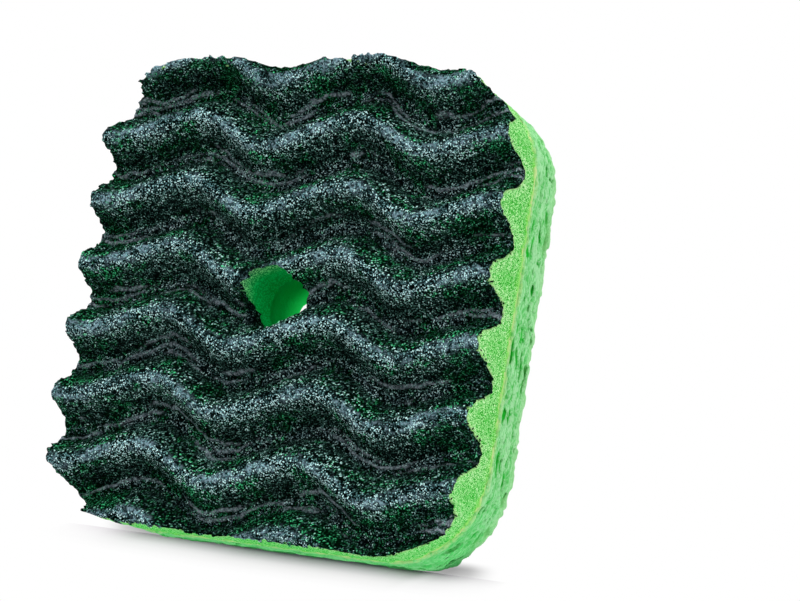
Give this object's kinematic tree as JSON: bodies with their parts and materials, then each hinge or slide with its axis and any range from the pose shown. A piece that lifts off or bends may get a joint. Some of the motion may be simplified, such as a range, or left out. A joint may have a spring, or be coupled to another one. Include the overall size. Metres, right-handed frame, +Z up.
{
  "type": "kitchen sponge",
  "caption": "Rounded-square scrub sponge with a wavy abrasive face on foam, a porous cellulose back and a round through-hole.",
  "frame": {"origin": "centre of the bounding box's bottom: on the surface that the sponge stands on, midway across its width and its thickness", "axes": "+Z up the height as it stands on its lower edge, -Y out of the wavy scouring face, +Y out of the flat cellulose face, +X to the right as the scouring face is seen"},
  "size_m": [0.1006, 0.0296, 0.105],
  "materials": {
    "scouring_coat": "gritty charcoal abrasive resin, matte with fine glints",
    "foam": "fine open-cell foam, matte yellow-green",
    "bond": "thin pale adhesive film",
    "cellulose": "porous cellulose, matte light green"
  },
  "bodies": {
    "root": {"scouring_coat": "scouring_coat", "foam_core": "foam", "bond_film": "bond", "cellulose_block": "cellulose"}
  },
  "joints": []
}
